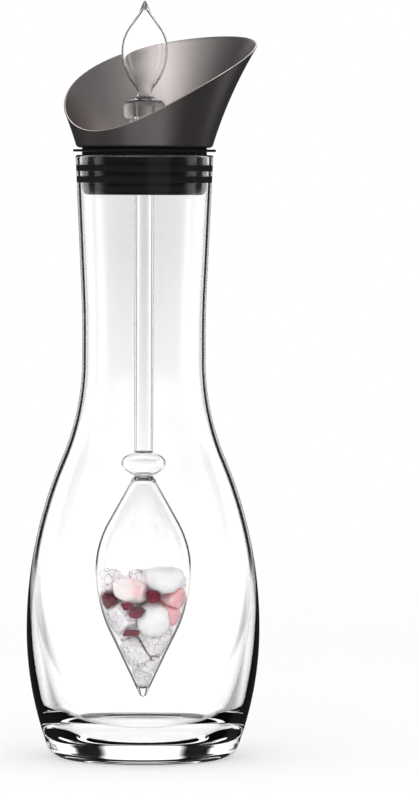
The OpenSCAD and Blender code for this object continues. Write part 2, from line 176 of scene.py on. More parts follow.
# A step of arithmetic on numbers and sockets
def addMath(tree, operation, *terms):
    node = addNode(tree, "ShaderNodeMath", operation=operation)
    for socket, term in zip(node.inputs, terms):
        feed(tree, socket, term)
    return node.outputs[0]


def addRange(tree, value, fromMin, fromMax, toMin=0.0, toMax=1.0, ease="SMOOTHSTEP"):
    node = addNode(tree, "ShaderNodeMapRange", interpolation_type=ease)
    sockets = ("Value", "From Min", "From Max", "To Min", "To Max")
    for socket, given in zip(sockets, (value, fromMin, fromMax, toMin, toMax)):
        feed(tree, node.inputs[socket], given)
    return node.outputs["Result"]


def addMix(tree, factor, first, second, **settings):
    node = addNode(tree, "ShaderNodeMix", **settings)
    for socket, given in (("Factor", factor), ("A", first), ("B", second)):
        feed(tree, node.inputs[socket], given)
    return node.outputs["Result"]


def addDot(tree, vector, towards):
    node = addNode(tree, "ShaderNodeVectorMath", {1: towards}, operation="DOT_PRODUCT")
    tree.links.new(vector, node.inputs[0])
    return node.outputs["Value"]


def addRamp(tree, factor, *stops, ease="LINEAR"):
    node = tree.nodes.new("ShaderNodeValToRGB")
    ramp = node.color_ramp
    ramp.interpolation = ease
    while len(ramp.elements) < len(stops):
        ramp.elements.new(0.5)
    for element, (position, colour) in zip(ramp.elements, stops):
        element.position = position
        element.color = (*colour, 1)
    tree.links.new(factor, node.inputs["Fac"])
    return node.outputs["Color"]


def addBump(tree, height, shader, strength, distance):
    bump = addNode(tree, "ShaderNodeBump", {"Strength": strength, "Distance": distance})
    tree.links.new(height, bump.inputs["Height"])
    tree.links.new(bump.outputs["Normal"], shader.inputs["Normal"])


def addGroup(tree, group, inputs):
    return addNode(tree, "ShaderNodeGroup", inputs, node_tree=group).outputs


def newMaterial(name, **surface):
    material = bpy.data.materials.new(name)
    material.use_nodes = True
    shader = material.node_tree.nodes["Principled BSDF"]
    for socket, value in surface.items():
        shader.inputs[socket].default_value = value
    return material, material.node_tree, shader


def newGroup(name, inputs, outputs):
    group = bpy.data.node_groups.new(name, "ShaderNodeTree")
    for sockets, way in ((inputs, "INPUT"), (outputs, "OUTPUT")):
        for socket in sockets:
            group.interface.new_socket(socket, in_out=way, socket_type="NodeSocketFloat")
    return group, group.nodes.new("NodeGroupInput").outputs, group.nodes.new("NodeGroupOutput").inputs


# Fine grain of a moulded surface: a little uneven in height and in gloss
def makeGrain():
    group, given, result = newGroup(
        "mouldedGrain", ["Scale", "Roughness", "Spread"], ["Roughness", "Height"]
    )
    where = group.nodes.new("ShaderNodeTexCoord").outputs["Object"]
    fine = addNode(group, "ShaderNodeTexNoise", {"Detail": 3})
    broad = addNode(group, "ShaderNodeTexNoise", {"Scale": 60, "Detail": 4})
    link = group.links.new
    link(where, fine.inputs["Vector"])
    link(where, broad.inputs["Vector"])
    link(given["Scale"], fine.inputs["Scale"])
    uneven = addMath(group, "SUBTRACT", broad.outputs["Fac"], noiseMiddle)
    link(addMath(group, "MULTIPLY_ADD", uneven, given["Spread"], given["Roughness"]), result["Roughness"])
    link(fine.outputs["Fac"], result["Height"])
    return group


# Clouds, thin veins and crushed chips inside a stone, with a slightly pitted skin
def makeStoneBody():
    group, given, result = newGroup(
        "stoneBody", ["Cloud Scale", "Vein Scale", "Vein Width", "Chip Scale"],
        ["Cloud", "Vein", "Chip", "Height"],
    )
    where = group.nodes.new("ShaderNodeTexCoord").outputs["Object"]
    cloud = addNode(group, "ShaderNodeTexNoise", {"Detail": 5, "Roughness": 0.6, "Distortion": 0.6})
    vein = addNode(group, "ShaderNodeTexVoronoi", feature="DISTANCE_TO_EDGE")
    skin = addNode(group, "ShaderNodeTexNoise", {"Scale": 420, "Detail": 4})
    chip = group.nodes.new("ShaderNodeTexVoronoi")
    shade = group.nodes.new("ShaderNodeSeparateColor")
    link = group.links.new
    for texture in (cloud, vein, skin, chip):
        link(where, texture.inputs["Vector"])
    for texture, scale in ((cloud, "Cloud Scale"), (vein, "Vein Scale"), (chip, "Chip Scale")):
        link(given[scale], texture.inputs["Scale"])
    link(chip.outputs["Color"], shade.inputs["Color"])
    link(cloud.outputs["Fac"], result["Cloud"])
    link(addRange(group, vein.outputs["Distance"], 0.0, given["Vein Width"], 1.0, 0.0), result["Vein"])
    link(shade.outputs["Red"], result["Chip"])
    link(skin.outputs["Fac"], result["Height"])
    return group


grain = makeGrain()
stoneBody = makeStoneBody()

# Light passes straight through glass to what lies behind it, less at its edges and in the thick base
glassShade = {"edgeFrom": 0.35, "baseFrom": 8, "baseTo": 26, "base": 0.7}


# Blown glass, with the faint slow waves that a gather keeps as it cools
def makeGlass(name, g, ior, waveScale, waveDepth, edgeShade):
    material, tree, shader = newMaterial(
        name, **{"Base Color": (1, 1, 1, 1), "Roughness": 0.0, "IOR": ior, "Transmission Weight": 1.0}
    )
    where = tree.nodes.new("ShaderNodeTexCoord").outputs["Object"]
    path = tree.nodes.new("ShaderNodeLightPath").outputs
    facing = addNode(tree, "ShaderNodeLayerWeight", {"Blend": 0.5}).outputs["Facing"]
    wave = addNode(tree, "ShaderNodeTexNoise", {"Scale": waveScale, "Detail": 1})
    height = tree.nodes.new("ShaderNodeSeparateXYZ")
    clear = tree.nodes.new("ShaderNodeBsdfTransparent")
    mix = tree.nodes.new("ShaderNodeMixShader")
    link = tree.links.new
    link(where, wave.inputs["Vector"])
    addBump(tree, wave.outputs["Fac"], shader, strength=1.0, distance=waveDepth * mm)
    link(where, height.inputs[0])
    edge = addRange(tree, facing, g["edgeFrom"], 1.0, 1.0, edgeShade, "LINEAR")
    base = addRange(
        tree, height.outputs["Z"], g["baseFrom"] * mm, g["baseTo"] * mm, g["base"], 1.0, "LINEAR"
    )
    link(addMath(tree, "MULTIPLY", edge, base), clear.inputs["Color"])
    link(addMath(tree, "MAXIMUM", path["Is Shadow Ray"], path["Is Diffuse Ray"]), mix.inputs["Fac"])
    link(shader.outputs[0], mix.inputs[1])
    link(clear.outputs[0], mix.inputs[2])
    link(mix.outputs[0], tree.nodes["Material Output"].inputs["Surface"])
    return material


steel = {
    "lines": (8, 8, 5200), "dark": (0.50, 0.458, 0.45), "pale": (0.57, 0.522, 0.512),
    "roughFrom": 0.24, "roughTo": 0.36, "bump": 0.2, "depth": 0.01,
}


# Steel spun on a lathe: fine lines round the axis, and a soft unevenness in the polish
def makeSteel(s):
    material, tree, shader = newMaterial("spunSteel", **{
        "Metallic": 1.0, "Anisotropic": 0.75,
        "Anisotropic Rotation": 0.25,  # gloss is drawn out across the lines
    })
    where = tree.nodes.new("ShaderNodeTexCoord").outputs["Object"]
    around = addNode(tree, "ShaderNodeMapping", {"Scale": s["lines"]})
    lines = addNode(tree, "ShaderNodeTexNoise", {"Scale": 1.0, "Detail": 4, "Roughness": 0.7})
    polish = addNode(tree, "ShaderNodeTexNoise", {"Scale": 28, "Detail": 3})
    turned = addNode(tree, "ShaderNodeTangent", direction_type="RADIAL", axis="Z")
    link = tree.links.new
    link(where, around.inputs["Vector"])
    link(around.outputs["Vector"], lines.inputs["Vector"])
    link(where, polish.inputs["Vector"])
    colour = addRamp(tree, lines.outputs["Fac"], (noiseLow, s["dark"]), (noiseHigh, s["pale"]))
    rough = addRange(tree, polish.outputs["Fac"], 0.0, 1.0, s["roughFrom"], s["roughTo"], "LINEAR")
    link(colour, shader.inputs["Base Color"])
    link(rough, shader.inputs["Roughness"])
    link(turned.outputs["Tangent"], shader.inputs["Tangent"])
    addBump(tree, lines.outputs["Fac"], shader, s["bump"], s["depth"] * mm)
    return material


# Milky clear silicone
def makeClearSilicone():
    material, tree, shader = newMaterial("clearSilicone", **{
        "IOR": 1.41, "Transmission Weight": 0.8, "Base Color": (0.93, 0.94, 0.94, 1),
    })
    skin = addGroup(tree, grain, {"Scale": 900, "Roughness": 0.22, "Spread": 0.1})
    tree.links.new(skin["Roughness"], shader.inputs["Roughness"])
    addBump(tree, skin["Height"], shader, strength=0.4, distance=0.01 * mm)
    return material


# Moulded black, a little uneven in shade
def makeBlack(name, shade, roughness, spread, scale, depth, uneven=0.2):
    material, tree, shader = newMaterial(name, **{"Specular IOR Level": 0.12})
    skin = addGroup(tree, grain, {"Scale": scale, "Roughness": roughness, "Spread": spread})
    dark, pale = (tuple(by * part for part in shade) for by in (1 - uneven, 1 + uneven))
    colour = addRamp(tree, skin["Height"], (noiseLow, dark), (noiseHigh, pale))
    tree.links.new(colour, shader.inputs["Base Color"])
    tree.links.new(skin["Roughness"], shader.inputs["Roughness"])
    addBump(tree, skin["Height"], shader, strength=0.3, distance=depth * mm)
    return material


carafeGlassLook = makeGlass(
    "clearBlownGlass", glassShade, ior=1.5, waveScale=30, waveDepth=0.01, edgeShade=0.2
)
vialGlassLook = makeGlass(
    "clearLampGlass", glassShade, ior=1.47, waveScale=60, waveDepth=0.01, edgeShade=0.6
)
steelLook = makeSteel(steel)
plasticLook = makeBlack(
    "blackPlastic", (0.0065, 0.0055, 0.006), roughness=0.34, spread=0.12, scale=1500, depth=0.01
)
siliconeLook = makeBlack(
    "blackSilicone", (0.007, 0.006, 0.0065), roughness=0.42, spread=0.1, scale=900, depth=0.015
)
clearSiliconeLook = makeClearSilicone()

# What all stones share, and then each kind of its own
stoneSkin = {
    "ior": 1.54, "glowDepth": 4, "polishRoughness": 0.08, "cloudFrom": 0.32, "cloudTo": 0.68,
    "veinFrom": 0.45, "veinTo": 0.6, "bump": 0.35,
}
stoneFinish = {
    "rose_quartz": {
        "pale": (0.96, 0.86, 0.86), "dark": (0.90, 0.47, 0.50), "chips": 0.0, "drift": (-13, -12, 0),
        "veinColour": (0.98, 0.92, 0.91), "veins": 0.4, "pits": 0.12,
        "clear": 0.0, "glow": 0.4, "glowColour": (1.0, 0.6, 0.55),
        "roughness": 0.26, "shine": 0.5, "polish": 0.3,
        "body": {"Cloud Scale": 70, "Vein Scale": 110, "Vein Width": 0.05, "Chip Scale": 300},
    },
    "white_quartz": {
        "pale": (0.88, 0.88, 0.89), "dark": (0.77, 0.77, 0.78), "chips": 0.0, "drift": (0, 0, 0),
        "veinColour": (0.80, 0.81, 0.83), "veins": 0.3, "pits": 0.15,
        "clear": 0.0, "glow": 0.4, "glowColour": (1.0, 0.97, 0.95),
        "roughness": 0.3, "shine": 0.5, "polish": 0.3,
        "body": {"Cloud Scale": 80, "Vein Scale": 120, "Vein Width": 0.04, "Chip Scale": 300},
    },
    "clear_quartz": {
        "pale": (1.0, 0.99, 1.0), "dark": (0.92, 0.85, 0.91), "chips": 0.8, "drift": (0, 0, 0),
        "veinColour": (0.10, 0.07, 0.11), "veins": 0.9, "pits": 0.4,
        "clear": 0.03, "glow": 0.5, "glowColour": (1.0, 0.93, 1.0),
        "roughness": 0.14, "shine": 0.5, "polish": 0.6,
        "body": {"Cloud Scale": 150, "Vein Scale": 240, "Vein Width": 0.05, "Chip Scale": 470},
    },
    "garnet": {
        "pale": (0.20, 0.002, 0.028), "dark": (0.05, 0.001, 0.007), "chips": 0.2, "drift": (0, 0, 0),
        "veinColour": (0.45, 0.03, 0.09), "veins": 0.1, "pits": 0.1,
        "clear": 0.0, "glow": 0.0, "glowColour": (1.0, 0.2, 0.2),
        "roughness": 0.14, "shine": 0.1, "polish": 0.05,
        "body": {"Cloud Scale": 160, "Vein Scale": 240, "Vein Width": 0.05, "Chip Scale": 500},
    },
}


# Stone: pale and dark clouds and chips that may drift to one side, and veins that heal in places
def makeStone(name, s, finish):
    material, tree, shader = newMaterial(name, **{
        "Roughness": finish["roughness"], "IOR": s["ior"], "Specular IOR Level": finish["shine"],
        "Transmission Weight": finish["clear"],
        "Subsurface Weight": finish["glow"], "Subsurface Scale": s["glowDepth"] * mm,
        "Subsurface Radius": finish["glowColour"],
        "Coat Weight": finish["polish"], "Coat Roughness": s["polishRoughness"],
    })
    inside = addGroup(tree, stoneBody, finish["body"])
    where = tree.nodes.new("ShaderNodeTexCoord").outputs["Object"]
    mottle = addMix(tree, finish["chips"], inside["Cloud"], inside["Chip"])
    shift = addMath(tree, "ADD", mottle, addDot(tree, where, finish["drift"]))
    clouds = addRamp(tree, shift, (s["cloudFrom"], finish["dark"]), (s["cloudTo"], finish["pale"]))
    healed = addRange(tree, inside["Cloud"], s["veinFrom"], s["veinTo"], finish["veins"], 0.0)
    strength = addMath(tree, "MULTIPLY", inside["Vein"], healed)
    veined = addMix(tree, strength, clouds, (*finish["veinColour"], 1), data_type="RGBA")
    tree.links.new(veined, shader.inputs["Base Color"])
    addBump(tree, inside["Height"], shader, s["bump"], finish["pits"] * mm)
    return material


stoneLook = {slot: makeStone(slot + "_body", stoneSkin, finish) for slot, finish in stoneFinish.items()}
print("materials made:", len(bpy.data.materials))

# Carafe: one outline from under the base, up the outside, over the lip and down the inside
carafe = {
    "lip": 34.2, "neck": 30.7, "neckHeight": 198, "flareHeight": 212, "flareCurve": 420,
    "bodyHeight": 64, "bellyCurve": 169, "shoulderCurve": 217,
    "footCurve": 9, "footWidth": 1.8, "hollow": 2.5,
    "wall": 2.1, "base": 11.5, "bowlCurve": 145, "bowlRise": 45, "floorCurve": 26,
    "segments": 192,
}


def carafeOutline(c):
    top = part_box("carafe_glass")[1] / mm
    belly = point(top.x - c["bellyCurve"], c["bodyHeight"])
    shoulder = point(top.x - c["shoulderCurve"], c["bodyHeight"])
    reach = c["neck"] - shoulder.x
    climb = c["neckHeight"] - c["bodyHeight"]
    waistCurve = (reach ** 2 + climb ** 2 - c["shoulderCurve"] ** 2) / (2 * (c["shoulderCurve"] - reach))
    waist = point(c["neck"] + waistCurve, c["neckHeight"])
    waistTurn = tilt(waist - shoulder)
    flare = point(c["neck"] + c["flareCurve"], c["flareHeight"])
    flareFar = point(flare.x - c["lip"], top.z - c["flareHeight"])
    flareTurn = tilt(flareFar) - math.degrees(math.acos(c["flareCurve"] / flareFar.length))
    footDrop = c["bodyHeight"] - c["footCurve"]
    footReach = math.sqrt((c["bellyCurve"] - c["footCurve"]) ** 2 - footDrop ** 2)
    foot = point(belly.x + footReach, c["footCurve"])
    footTurn = tilt(foot - belly)
    stand = foot.x - c["footWidth"]
    hollowCurve = (stand ** 2 + c["hollow"] ** 2) / (2 * c["hollow"])
    hollowTurn = math.degrees(math.asin(stand / hollowCurve))
    innerCurve = c["shoulderCurve"] - c["wall"]
    bowlTurn = math.degrees(math.asin(c["bowlRise"] / innerCurve))
    bowl = onArc(shoulder, innerCurve - c["bowlCurve"], bowlTurn)
    floorHeight = c["base"] + c["floorCurve"]
    floorReach = math.sqrt((c["bowlCurve"] - c["floorCurve"]) ** 2 - (bowl.y - floorHeight) ** 2)
    floor = point(bowl.x + floorReach, floorHeight)
    floorTurn = tilt(floor - bowl)
    lipEdge = c["wall"] / 2
    lip = point(c["lip"] - lipEdge / math.cos(math.radians(flareTurn)), top.z - lipEdge)
    flareOut = arc(flare, c["flareCurve"], 180, 180 - flareTurn, steps=12)
    lipRound = arc(lip, lipEdge, -flareTurn, 180 - flareTurn, steps=12)
    flareIn = arc(flare, c["flareCurve"] + c["wall"], 180 - flareTurn, 180, steps=12)
    return (
        arc((0, c["hollow"] - hollowCurve), hollowCurve, 90, 90 - hollowTurn, steps=12)
        + arc(foot, c["footCurve"], -90, footTurn, steps=16)
        + arc(belly, c["bellyCurve"], footTurn, 0, steps=24)[1:]
        + arc(shoulder, c["shoulderCurve"], 0, waistTurn, steps=36)[1:]
        + arc(waist, waistCurve, 180 + waistTurn, 180, steps=30)[1:]
        + joinStraight(joinStraight(flareOut, lipRound), flareIn)
        + arc(waist, waistCurve + c["wall"], 180, 180 + waistTurn, steps=30)
        + arc(shoulder, innerCurve, waistTurn, bowlTurn, steps=24)[1:]
        + arc(bowl, c["bowlCurve"], bowlTurn, floorTurn, steps=30)[1:]
        + arc(floor, c["floorCurve"], floorTurn, -90, steps=24)[1:]
        + [point(0, c["base"])]
    )


carafeGlass = turnPiece("carafeGlass", carafeOutline(carafe), carafe["segments"])
shadeSmooth(carafeGlass, degrees=60)
place(carafeGlass, "carafe", "carafe_glass", carafeGlassLook, "carafe_glass")
print("carafe turned:", len(carafeGlass.data.polygons), "faces")

# Vial: the outer skin, and the two sealed hollows inside it
vial = {
    "stem": 4.8, "wall": 0.8, "vessel": 24.1, "vesselHeight": 93, "vesselWall": 1,
    "upCurve": 50, "upLean": 29.5, "lowCurve": 80, "lowLean": 25.2,
    "tip": 2.2, "pocket": 4, "cap": 7, "knob": 11.1, "knobTall": 13.4,
    "collar": 10.5, "collarTall": 5.6, "collarTopCurve": 4, "collarLowCurve": 1.5, "collarGap": 0.1,
    "pinch": 3.9, "pinchCurve": 3.65, "finial": 11.6, "finialLowCurve": 27, "finialUpCurve": 21,
    "finialLean": 35, "tipFoot": 3.3, "tipLean": 24, "finialTip": 0.6, "segments": 128,
}


def dropLow(radius, height, curve, lean, steps=20):
    return arc((radius - curve, height), curve, -lean, 0, steps)


def dropUp(radius, height, curve, lean, steps=20):
    return arc((radius - curve, height), curve, 0, lean, steps)


def coneEnd(foot, lean, curve, side):
    apex = foot.y + side * foot.x / math.tan(math.radians(lean))
    centre = (0, apex - side * curve / math.sin(math.radians(lean)))
    turns = (lean, 90) if side > 0 else (-90, -lean)
    return arc(centre, curve, *turns, steps=10)


def ellipseSide(radius, half, height, lowEdge, highEdge, steps=32):
    low, high = (math.degrees(math.acos(edge / radius)) for edge in (lowEdge, highEdge))
    return [point(p.x * radius, height + p.y * half) for p in arc((0, 0), 1, -low, high, steps)]


def makeVial(v):
    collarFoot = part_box("vial_grommet")[1].z / mm + v["collarGap"]
    shoulder = point(v["collar"] - v["collarTopCurve"], collarFoot + v["collarTall"])
    collarEdge = v["collarLowCurve"]
    collarLow = point(v["collar"] - collarEdge, collarFoot + collarEdge)
    waistOut = v["pinch"] + v["pinchCurve"]
    waistRise = math.sqrt((v["pinchCurve"] + v["collarTopCurve"]) ** 2 - (waistOut - shoulder.x) ** 2)
    waist = point(waistOut, shoulder.y + waistRise)
    dropOut = v["finial"] - v["finialLowCurve"]
    dropRise = math.sqrt((v["finialLowCurve"] + v["pinchCurve"]) ** 2 - (waistOut - dropOut) ** 2)
    finialHeight = waist.y + dropRise
    shoulderTurn = tilt(waist - shoulder)
    waistTurn = tilt(point(dropOut, finialHeight) - waist)
    low = dropLow(v["vessel"], v["vesselHeight"], v["lowCurve"], v["lowLean"])
    up = dropUp(v["vessel"], v["vesselHeight"], v["upCurve"], v["upLean"])
    knobFoot = up[-1].y + (up[-1].x - v["stem"]) / math.tan(math.radians(v["upLean"]))
    knobHalf = v["knobTall"] / 2
    knobHeight = knobFoot + knobHalf * math.sqrt(1 - (v["stem"] / v["knob"]) ** 2)
    knob = ellipseSide(v["knob"], knobHalf, knobHeight, v["stem"], v["stem"])
    finialUp = dropUp(v["finial"], finialHeight, v["finialUpCurve"], v["finialLean"])
    tipRise = (finialUp[-1].x - v["tipFoot"]) / math.tan(math.radians(v["finialLean"]))
    tipFoot = point(v["tipFoot"], finialUp[-1].y + tipRise)
    skin = (
        coneEnd(low[0], v["lowLean"], v["tip"], -1)
        + low + up[1:]
        + joinStraight(knob, [point(v["stem"], collarFoot)])
        + arc(collarLow, collarEdge, -90, 0, steps=8)
        + arc(shoulder, v["collarTopCurve"], 0, shoulderTurn, steps=12)
        + arc(waist, v["pinchCurve"], 180 + shoulderTurn, waistTurn, steps=20)[1:]
        + dropLow(v["finial"], finialHeight, v["finialLowCurve"], 180 - waistTurn)[1:]
        + finialUp[1:] + [tipFoot]
        + coneEnd(tipFoot, v["tipLean"], v["finialTip"], 1)
    )
    wall, glass = v["wall"], v["vesselWall"]
    roomLow = dropLow(v["vessel"] - glass, v["vesselHeight"], v["lowCurve"] - glass, v["lowLean"])
    roomUp = dropUp(v["vessel"] - glass, v["vesselHeight"], v["upCurve"] - glass, v["upLean"])
    room = (
        coneEnd(roomLow[0], v["lowLean"], v["pocket"], -1) + roomLow + roomUp[1:]
        + coneEnd(roomUp[-1], v["upLean"], v["cap"], 1)
    )
    bore = v["stem"] - wall
    throat = v["pinchCurve"] + wall
    throatTurn = math.degrees(math.acos(min(1, (waistOut - bore) / throat)))
    innerUp = dropUp(v["finial"] - wall, finialHeight, v["finialUpCurve"] - wall, v["finialLean"])
    knobRoom = ellipseSide(v["knob"] - wall, knobHalf - wall, knobHeight, 0, bore)
    waistRoom = arc(waist, throat, 180 + throatTurn, waistTurn, steps=16)
    tube = (
        joinStraight(knobRoom, waistRoom)
        + dropLow(v["finial"] - wall, finialHeight, v["finialLowCurve"] - wall, 180 - waistTurn)[1:]
        + innerUp[1:]
        + coneEnd(innerUp[-1], v["finialLean"], 2 * wall, 1)
    )
    piece = turnPiece("gemVial", skin, v["segments"])
    rooms = [turnPiece("hollow", outline, v["segments"], hollow=True) for outline in (room, tube)]
    return joinPieces(piece, *rooms)


gemVial = makeVial(vial)
shadeSmooth(gemVial, degrees=40)
place(gemVial, "vial", "vial_glass", vialGlassLook, "gem_vial")
print("vial turned:", len(gemVial.data.polygons), "faces")

# Pourer: the wall is turned whole, then each column of it is drawn down to the slanted rim
pourer = {
    "sheet": 0.8, "hole": 26.25, "foot": 33.7, "lean": 16.5, "wallCurve": 217, "bend": 2.2, "topTurn": 40,
    "rimMid": 34, "rimSlope": 26.5, "rimFrontCurve": 300, "rimBackCurve": 141,
    "edge": 0.28, "rows": 30, "segments": 192, "drawnFrom": 0.9, "halvings": 40,
}


def makePourer(p):
    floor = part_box("pourer_funnel")[0].z / mm
    lean = math.radians(p["lean"])
    curve = p["wallCurve"]
    wall = point(p["foot"] + curve * math.cos(lean), floor - curve * math.sin(lean))
    bendTurn = math.degrees(math.asin((floor + p["bend"] - wall.y) / (curve + p["bend"])))
    bend = onArc(wall, curve + p["bend"], 180 - bendTurn)
    outline = (
        [point(p["hole"], floor)]
        + arc(bend, p["bend"], -90, -bendTurn, steps=10)
        + arc(wall, curve, 180 - bendTurn, 180 - p["topTurn"], p["rows"])[1:]
    )
    piece = turnPiece("pourerFunnel", outline, p["segments"])
    slope = math.radians(90 + p["rimSlope"])

    def rimHeight(y):
        rim = p["rimFrontCurve"] if y > 0 else p["rimBackCurve"]
        along = y + rim * math.cos(slope)
        return floor + p["rimMid"] - rim * math.sin(slope) + math.sqrt(max(rim ** 2 - along ** 2, 0))

    def rimTurn(towardsSpout):
        low, high = bendTurn, p["topTurn"]
        for _ in range(p["halvings"]):
            middle = (low + high) / 2
            spot = onArc(wall, curve, 180 - middle)
            if spot.y < rimHeight(spot.x * towardsSpout):
                low = middle
            else:
                high = middle
        return low

    for vertex in piece.data.vertices:
        radius = vertex.co.xy.length
        turn = 180 - tilt(point(radius / mm, vertex.co.z / mm) - wall)
        share = (turn - bendTurn) / (p["topTurn"] - bendTurn)
        if vertex.co.z / mm > bend.y - p["bend"] * p["drawnFrom"] and share > 0:
            newTurn = 180 - bendTurn - share * (rimTurn(vertex.co.y / radius) - bendTurn)
            spot = onArc(wall, curve, newTurn) * mm
            vertex.co = (*(vertex.co.xy * spot.x / radius), spot.y)
    applyModifier(piece, "SOLIDIFY", thickness=p["sheet"] * mm, offset=-1, use_even_offset=True)
    roundEdges(piece, p["edge"], segments=3, degrees=50)
    return piece


pourerFunnel = makePourer(pourer)
shadeSmooth(pourerFunnel, degrees=40)
place(pourerFunnel, "lid", "pourer_steel", steelLook, "pourer_funnel")
print("pourer spun:", len(pourerFunnel.data.polygons), "faces")

# Stopper and its seals
stopper = {
    "plug": 31.05, "grooveDepth": 2.5, "noseDraw": 2.6, "bore": 24.25, "socket": 26.15, "socketDepth": 8,
    "noseTurn": 80, "flangeGap": 1.6, "edge": 0.3, "segments": 160,
}


def makeStopper(s):
    low, high = (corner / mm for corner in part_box("stopper_core"))
    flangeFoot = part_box("carafe_glass")[1].z / mm + s["flangeGap"]
    outline = [point(s["bore"], low.z)]
    grooves = []
    for ring in ("lower_seal_ring", "upper_seal_ring"):
        ringLow, ringHigh = (corner.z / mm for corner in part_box(ring))
        grooves += [(s["plug"], ringLow), (s["plug"] - s["grooveDepth"], ringLow)]
        grooves += [(s["plug"] - s["grooveDepth"], ringHigh), (s["plug"], ringHigh)]
    noseTop = grooves[0][1]
    outline += [
        point(s["plug"] - s["noseDraw"] * (1 - p.y), noseTop - (noseTop - low.z) * p.x)
        for p in arc((0, 0), 1, 0, s["noseTurn"], steps=8)
    ]
    outline += [point(radius, height) for radius, height in grooves]
    outline += [
        point(s["plug"], flangeFoot), point(high.x, flangeFoot), point(high.x, high.z),
        point(s["socket"], high.z), point(s["socket"], high.z - s["socketDepth"]),
        point(s["bore"], high.z - s["socketDepth"]), outline[0],
    ]
    piece = turnPiece("stopperCore", outline, s["segments"])
    roundEdges(piece, s["edge"], segments=3, degrees=35)
    return piece


sealRing = {"grooveClear": 0.3, "press": 0.36, "lean": 2.3, "edge": 1.1, "segments": 160}


def makeSeal(node, name, r):
    low, high = (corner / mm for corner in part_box(node))
    inner = stopper["plug"] - stopper["grooveDepth"] + r["grooveClear"]
    outer = high.x + r["press"]  # the soft ring bears on the glass, which shows it full width
    outerLow = outer - (high.z - low.z) * math.tan(math.radians(r["lean"]))
    outline = [
        point(inner, low.z), point(outerLow, low.z), point(outer, high.z), point(inner, high.z),
    ]
    piece = turnPiece(name, outline + outline[:1], r["segments"])
    roundEdges(piece, r["edge"], segments=5, degrees=35)
    return piece


washer = {"edge": 0.2, "segments": 128}


def makeWasher(w):
    low, high = (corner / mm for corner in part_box("pourer_gasket"))
    hole = pourer["hole"]
    outline = [point(high.x, low.z), point(high.x, high.z), point(hole, high.z), point(hole, low.z)]
    piece = turnPiece("pourerGasket", outline + outline[:1], w["segments"])
    roundEdges(piece, w["edge"], segments=2, degrees=35)
    return piece


stopperCore = makeStopper(stopper)
shadeSmooth(stopperCore, degrees=30)
place(stopperCore, "lid", "stopper_plastic", plasticLook, "stopper_core")
for node, name in (("upper_seal_ring", "upperSealRing"), ("lower_seal_ring", "lowerSealRing")):
    seal = makeSeal(node, name, sealRing)
    shadeSmooth(seal, degrees=40)
    place(seal, "neck_seals", "seal_silicone", siliconeLook, node)
pourerGasket = makeWasher(washer)
shadeSmooth(pourerGasket, degrees=40)
place(pourerGasket, "lid", "seal_silicone", siliconeLook, "pourer_gasket")
print("stopper, seals and washer turned")

# Holder and bush of the vial: the CAD shapes with moulded edges
moulded = {"holderEdge": 0.4, "bushEdge": 0.3}
vialHolder = copyNode("vial_holder", "vialHolder")
roundEdges(vialHolder, moulded["holderEdge"], segments=3, degrees=40)
shadeSmooth(vialHolder, degrees=40)
place(vialHolder, "lid", "stopper_plastic", plasticLook, "vial_holder")
vialGrommet = copyNode("vial_grommet", "vialGrommet")
roundEdges(vialGrommet, moulded["bushEdge"], segments=3, degrees=40)
shadeSmooth(vialGrommet, degrees=40)
place(vialGrommet, "vial", "clear_silicone", clearSiliconeLook, "vial_grommet")
print("holder and bush finished")

# Stones: each CAD chip is worn round, or left sharp, and gets an uneven skin
stoneWear = {
    "rose_quartz": {"grid": 0.5, "wear": 80, "dents": 0.5, "dentSize": 3.5, "sink": 0.5},
    "white_quartz": {"grid": 0.5, "wear": 350, "dents": 0.9, "dentSize": 4, "sink": -0.6},
    "clear_quartz": {"grid": 0.45, "wear": 3, "dents": 0.4, "dentSize": 2.2, "sink": 1.0},
    "garnet": {"grid": 0.35, "wear": 3, "dents": 0.25, "dentSize": 2, "sink": 1.0},
}


def makeStonePiece(node, slot, wear):
    first, *others = node.split("_")
    piece = copyNode(node, first + "".join(word.capitalize() for word in others))
    applyModifier(piece, "REMESH", mode="VOXEL", voxel_size=wear["grid"] * mm)
    applyModifier(piece, "SMOOTH", factor=0.5, iterations=wear["wear"])
    textures = bpy.data.textures
    dents = textures.get(slot + "Dents") or textures.new(slot + "Dents", "CLOUDS")
    dents.noise_scale = wear["dentSize"] * mm
    applyModifier(
        piece, "DISPLACE", texture=dents, texture_coords="LOCAL", strength=wear["dents"] * mm,
        mid_level=wear["sink"],
    )
    shadeSmooth(piece, degrees=60)
    place(piece, "vial", slot, stoneLook[slot], node)


stoneNodes = [n for n in sorted(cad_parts) if n.rsplit("_", 1)[0] in stoneWear]
for node in stoneNodes:
    slot = node.rsplit("_", 1)[0]
    makeStonePiece(node, slot, stoneWear[slot])
print("stones finished:", len(stoneNodes))

# Floor, light and camera; the floor glows a little in aisles along the views, so that glass shows it white
shot = {
    "azimuth": 42.4, "distance": 2.6, "height": 0.295, "roll": 0.2,
    "aimRight": 0.0325, "aimHeight": 0.1782, "frameTall": 0.3981,
}
floorLook = {
    "radius": 1.6, "segments": 96, "fadeFrom": 0.35, "fadeTo": 1.5, "paint": 0.5,
    "lift": 0.39, "under": 0.6, "glassLift": 0.8, "aisles": ((42.4, 0.03), (0, 0.005), (90, 0.005)),
    "aisleSpread": 0.2, "aisleSoft": 0.03, "aisleEnd": 0.35, "aisleFade": 1.7, "beyond": 0.5,
    # the last four keys set painted shade: how far out and how dark the floor's paint is made for light
    # mirrored off the vial
    "cardReach": 0.3, "cardSoft": 0.05, "cardShade": 0.3, "cardDepth": 2.5,
}
